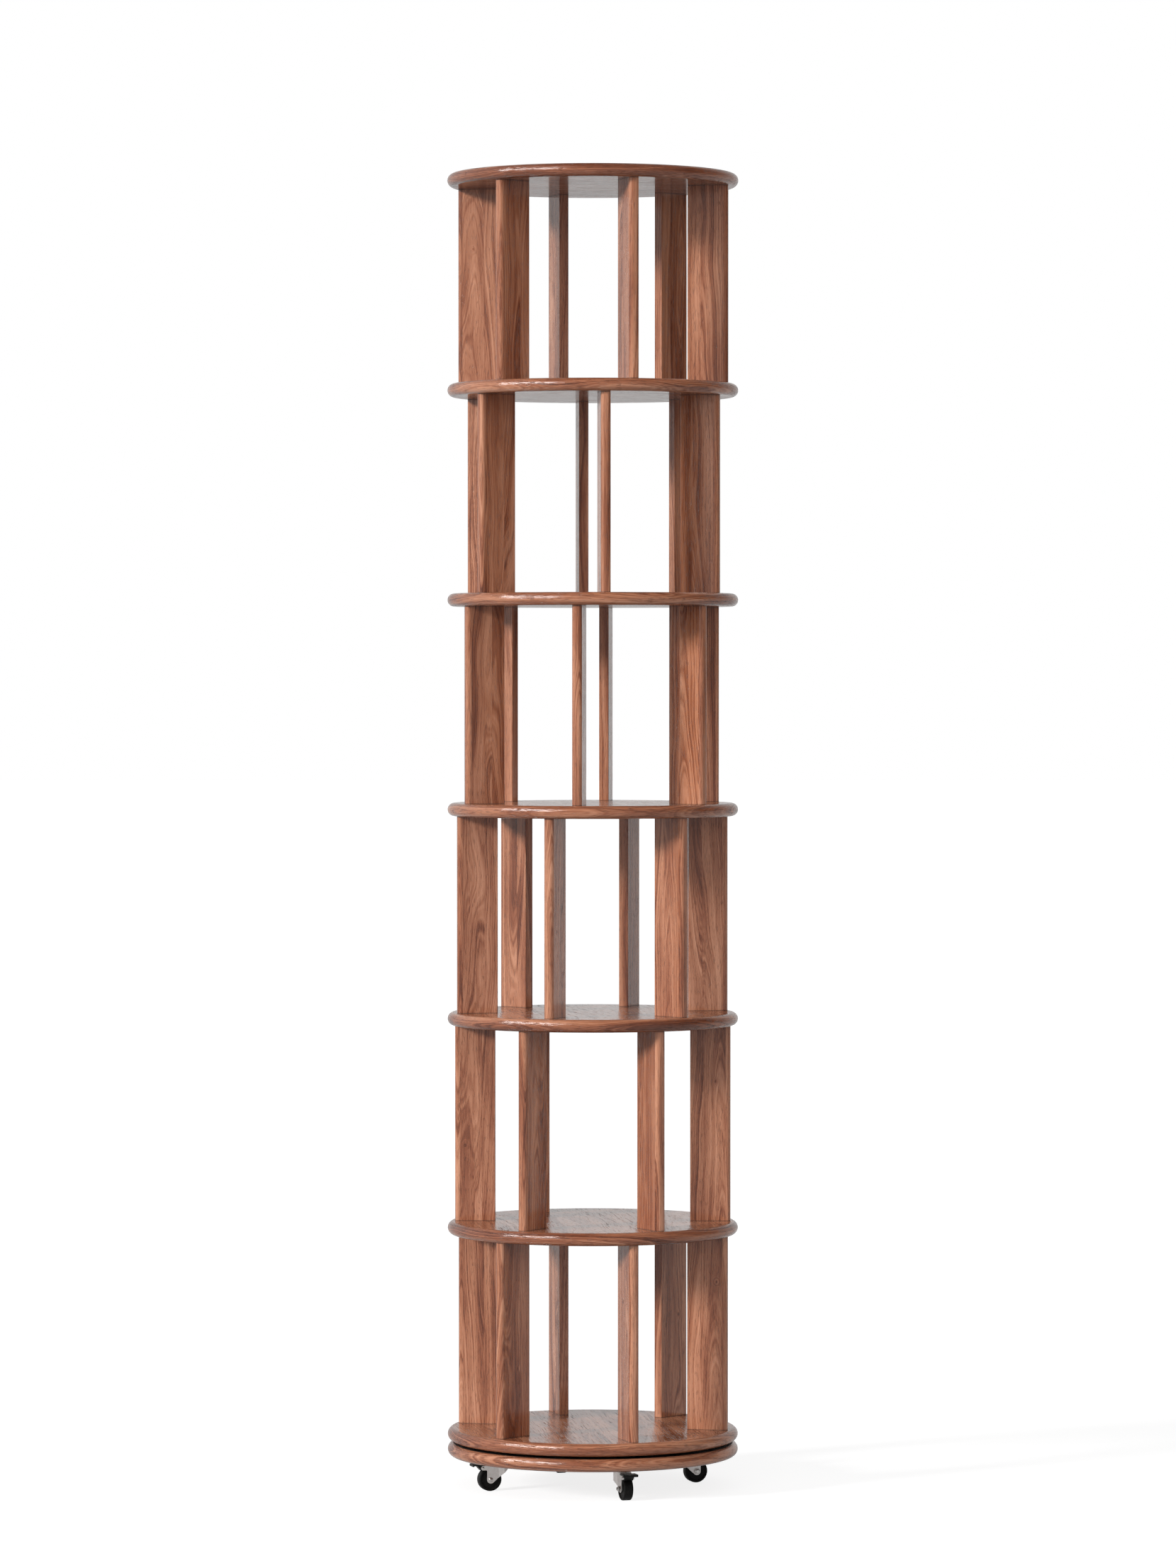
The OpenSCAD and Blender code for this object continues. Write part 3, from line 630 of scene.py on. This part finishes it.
def moulded(name, dark, pale, roughness, grain_pitch, depth, gloss):
    material = bpy.data.materials.new(name)
    tree = new_tree(material)
    face = use_group(tree, moulding, {
        "Place": object_place(tree), "Dark": dark, "Pale": pale, "Roughness": roughness,
        "Grain": grain_pitch,
    })
    bump = put(tree, "ShaderNodeBump")
    bump.inputs["Distance"].default_value = depth
    tree.links.new(face["Relief"], bump.inputs["Height"])
    skin = put(tree, "ShaderNodeBsdfPrincipled")
    skin.inputs["Specular IOR Level"].default_value = gloss
    tree.links.new(face["Color"], skin.inputs["Base Color"])
    tree.links.new(face["Roughness"], skin.inputs["Roughness"])
    tree.links.new(bump.outputs[0], skin.inputs["Normal"])
    show(tree, skin)
    return material


cage_nylon = moulded(
    "cage_nylon", nylon_dark, nylon_pale, nylon_rough, nylon_grain, nylon_relief, nylon_gloss,
)
finish_with("turntable_ball_cage", cage_nylon)
ball_steel = metal("ball_steel", ball_shade, ball_dull, ball_rough)
finish_with("turntable_balls", ball_steel)

# The steel wood screws that hold the rings, zinc-plated and a little dulled.
screw_steel = metal("screw_steel", screw_shade, screw_dull, screw_rough)
finish_with("turntable_base_screws", screw_steel)
finish_with("turntable_shelf_screws", screw_steel)


# Caster plates. Four square plates pressed from zinc-plated steel sheet, each with a dish for
# the swivel's balls and held up to the base disc by four round-headed wood screws.
casters = (1, 2, 3, 4)
zinc_shade = (0.93, 0.90, 0.88, 1.0)
zinc_dull = (0.84, 0.81, 0.79, 1.0)
zinc_rough = 0.40
zinc_relief = 0.000015
rolling_pitch = (2400.0, 2400.0, 60.0)


def rolled_marks(tree, place):
    return noise(tree, vector(tree, "MULTIPLY", place, rolling_pitch), detail=1.0)


plated_zinc = metal(
    "plated_zinc", zinc_shade, zinc_dull, zinc_rough, marks=rolled_marks, depth=zinc_relief,
)
for number in casters:
    finish_with(f"caster_plate_{number}", plated_zinc)
finish_with("caster_plate_screws", screw_steel)


# Kingpins. A steel rivet through the middle of each plate and fork, closed over at both ends,
# which the fork swivels round.
finish_with("caster_kingpins", screw_steel)


# Swivel balls. Ten hardened steel balls in a ring in each caster, between the dish of the
# plate and the groove in the fork's crown.
for number in casters:
    finish_with(f"caster_balls_{number}", ball_steel)


# Forks. Each is pressed from one piece of steel sheet, with a crown, a skirt behind and two
# legs, and zinc-plated as bright as the plates.
for number in casters:
    finish_with(f"caster_fork_{number}", plated_zinc)


# Axle bolts and brake rivets. Through each fork goes a steel bolt with a domed head and a
# hexagon nut, on which the wheel turns, and a hollow rivet, on which the brake turns.
bolt_shade = (0.80, 0.78, 0.76, 1.0)
bolt_dull = (0.55, 0.53, 0.51, 1.0)
bolt_rough = 0.20
bolt_steel = metal("bolt_steel", bolt_shade, bolt_dull, bolt_rough)
for number in casters:
    finish_with(f"caster_pins_{number}", bolt_steel)


# Wheels. Solid black rubber, moulded in one piece with dished sides and a rounded, finely
# pebbled tread, and free to turn on the axle bolt.
rubber_black = (0.0022, 0.0020, 0.0020, 1.0)
rubber_worn = (0.0110, 0.0098, 0.0095, 1.0)
rubber_rough = 0.50
rubber_grain = 1000.0
rubber_relief = 0.00020
rubber_gloss = 0.16
wheel_rubber = moulded(
    "wheel_rubber", rubber_black, rubber_worn, rubber_rough, rubber_grain, rubber_relief,
    rubber_gloss,
)
for number in casters:
    finish_with(f"caster_wheel_{number}", wheel_rubber)


# Brakes. A pedal moulded in black nylon with its edges rounded over, on the rivet between the
# fork's ears. Pressed down, it brings its nose onto the tread.
pedal_black = (0.0024, 0.0022, 0.0022, 1.0)
pedal_pale = (0.0090, 0.0084, 0.0082, 1.0)
pedal_rough = 0.36
pedal_grain = 1900.0
pedal_relief = 0.00006
pedal_gloss = 0.22
pedal_edge = 0.00045
edge_steps = 3
merge_within = 0.000001
flat_angle = math.radians(1.0)
corner_angle = math.radians(35.0)
smooth_angle = math.radians(30.0)
pedal_nylon = moulded(
    "pedal_nylon", pedal_black, pedal_pale, pedal_rough, pedal_grain, pedal_relief, pedal_gloss,
)


def rounded_copy(node, name, edge, material):
    shape = bmesh.new()
    shape.from_mesh(cad_node[node].data)
    bmesh.ops.remove_doubles(shape, verts=shape.verts, dist=merge_within)
    bmesh.ops.dissolve_limit(
        shape, angle_limit=flat_angle, verts=shape.verts, edges=shape.edges,
    )
    corners = [
        side for side in shape.edges if side.is_manifold and side.calc_face_angle() > corner_angle
    ]
    bmesh.ops.bevel(
        shape, geom=corners, offset=edge, offset_type="OFFSET", segments=edge_steps, profile=0.5,
        affect="EDGES", material=-1, clamp_overlap=True,
    )
    bmesh.ops.recalc_face_normals(shape, faces=shape.faces)
    mesh = bpy.data.meshes.new(name)
    shape.to_mesh(mesh)
    shape.free()
    for layer in ("custom_normal", "sharp_edge", "sharp_face"):
        if layer in mesh.attributes:
            mesh.attributes.remove(mesh.attributes[layer])
    mesh.shade_smooth()
    mesh.set_sharp_from_angle(angle=smooth_angle)
    mesh.materials.clear()
    mesh.materials.append(material)
    piece = bpy.data.objects.new(name, mesh)
    scene.collection.objects.link(piece)
    return piece


for number in casters:
    pedal = rounded_copy(
        f"caster_brake_{number}", f"brake_pedal_{number}", pedal_edge, pedal_nylon,
    )
    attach(pedal, f"brake_{number}")
    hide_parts(f"caster_brake_{number}")


# Shelves. Seven round shelves of solid walnut, glued up from staves, turned to a full
# half-round rim and lacquered. The grain of each lies its own way, and the bottom one is
# screwed down to the bearing.
# name: (height of the middle, way of the grain in degrees from the depth axis, seed, darker rim)
shelf_boards = {
    # The rims are darker partly by the wood's own tone and partly as painted shade; the top shelf's
    # rim, seen from below, has more painted shade.
    "top_shelf": (2.0235, 74.0, 1.0, 0.19),
    "shelf_2": (1.6995, 66.0, 2.0, 0.08),
    "shelf_3": (1.3755, 80.0, 3.0, 0.08),
    "shelf_4": (1.0515, -12.0, 4.0, 0.08),
    "shelf_5": (0.7275, -10.0, 5.0, 0.08),
    "shelf_6": (0.4035, -8.0, 6.0, 0.08),
    "bottom_shelf": (0.0835, -9.0, 7.0, 0.08),
}
for board, (middle, grain_way, seed, rim_darker_tone_and_shade) in shelf_boards.items():
    finish_with(board, disc_walnut(board + "_walnut", middle, grain_way, seed, rim_darker_tone_and_shade))


# Uprights. Thirty-six radial boards of the same walnut, six to a tier, glued up from narrow
# strips with their grain standing, and with their two outer corners rounded. Each tier is
# turned twelve degrees from the next.
upright_middle = 0.18225
strip_start = 0.0105
strip_width = 0.034
strip_seed_step = 0.43
side_seed_step = 0.31
upright_pore_run = 100.0
upright_relief = 0.4
first_seed = 20.0
top_shelf_under = 2.0135
tier_pitch = 0.324
tier_clear = 0.304
bottom_clear = 0.300
# The ends of each upright are darkened over their last 1.6 mm, as painted shade where they meet the
# shelves.
painted_joint_shade_high = 0.0016
painted_joint_shade_dark = 0.60
tiers = 6
tier_twist = 12.0
straight_tier = 5
pair_turn = 60.0
pairs = "abc"


def upright_walnut(name, angle, middle, half_height, seed):
    material = bpy.data.materials.new(name)
    tree = new_tree(material)
    turned = put(tree, "ShaderNodeMapping", vector_type="TEXTURE")
    turned.inputs["Location"].default_value = (0.0, 0.0, middle)
    turned.inputs["Rotation"].default_value = (0.0, 0.0, math.radians(angle))
    tree.links.new(object_place(tree), turned.inputs["Vector"])
    along = split(tree, turned.outputs[0])
    side = calc(tree, "SIGN", along[0])
    width = calc(tree, "SUBTRACT", calc(tree, "ABSOLUTE", along[0]), upright_middle)
    strip = calc(tree, "DIVIDE", calc(tree, "ADD", width, strip_start), strip_width)
    strip = calc(tree, "FLOOR", strip)
    side_seed = calc(tree, "MULTIPLY_ADD", side, side_seed_step, seed)
    grain = use_group(tree, figure, {
        "Place": join(tree, width, calc(tree, "MULTIPLY", along[1], side), along[2]),
        "Seed": calc(tree, "MULTIPLY_ADD", strip, strip_seed_step, side_seed),
        "Pore Run": upright_pore_run, "Knots": 1.0,
    })
    relief = calc(tree, "MULTIPLY", grain["Relief"], upright_relief)
    # Painted shade at both ends of the upright, where it meets the shelves.
    from_middle = calc(tree, "ABSOLUTE", along[2])
    painted_joint_shade_start = half_height - painted_joint_shade_high
    painted_joint_shade = ramp(tree, from_middle, painted_joint_shade_start, half_height, 0.0, painted_joint_shade_dark)
    lacquered_walnut(tree, grain["Tone"], grain["Pores"], relief, painted_joint_shade)
    return material


for tier in range(1, tiers + 1):
    half_height = (bottom_clear if tier == tiers else tier_clear) / 2.0
    middle = top_shelf_under - tier_pitch * (tier - 1) - half_height
    for number, pair in enumerate(pairs):
        name = f"tier_{tier}_uprights_{pair}"
        angle = (straight_tier - tier) * tier_twist + number * pair_turn
        seed = first_seed + tier * len(pairs) + number
        finish_with(name, upright_walnut(name + "_walnut", angle, middle, half_height, seed))


# Dowels. Two beech dowels, glued into the upper end of each upright and the shelf over it.
beech_pale = (0.520, 0.330, 0.190, 1.0)
beech_dark = (0.330, 0.180, 0.090, 1.0)
beech_rough = 0.60
beech_rough_by_pores = 0.2
beech_relief = 0.0001
beech_seed = 90.0
beech_pore_run = 160.0
beech = bpy.data.materials.new("dowel_beech")
tree = new_tree(beech)
place = object_place(tree)
grain = use_group(tree, figure, {
    "Place": place, "Seed": beech_seed, "Pore Run": beech_pore_run, "Knots": 0.0,
})
bump = put(tree, "ShaderNodeBump")
bump.inputs["Distance"].default_value = beech_relief
tree.links.new(grain["Relief"], bump.inputs["Height"])
skin = put(tree, "ShaderNodeBsdfPrincipled")
feed(tree, mix(tree, grain["Tone"], beech_dark, beech_pale), skin.inputs["Base Color"])
rough = calc(tree, "MULTIPLY_ADD", grain["Pores"], beech_rough_by_pores, beech_rough)
feed(tree, rough, skin.inputs["Roughness"])
tree.links.new(bump.outputs[0], skin.inputs["Normal"])
show(tree, skin)
finish_with("upright_dowels", beech)


# Upright screws. Two countersunk steel screws go up through the shelf into the lower end of
# each upright, with their heads flush in the shelf's underside.
finish_with("upright_screws", screw_steel)


# The picture uses the Standard view transform.
scene.view_settings.view_transform = "Standard"
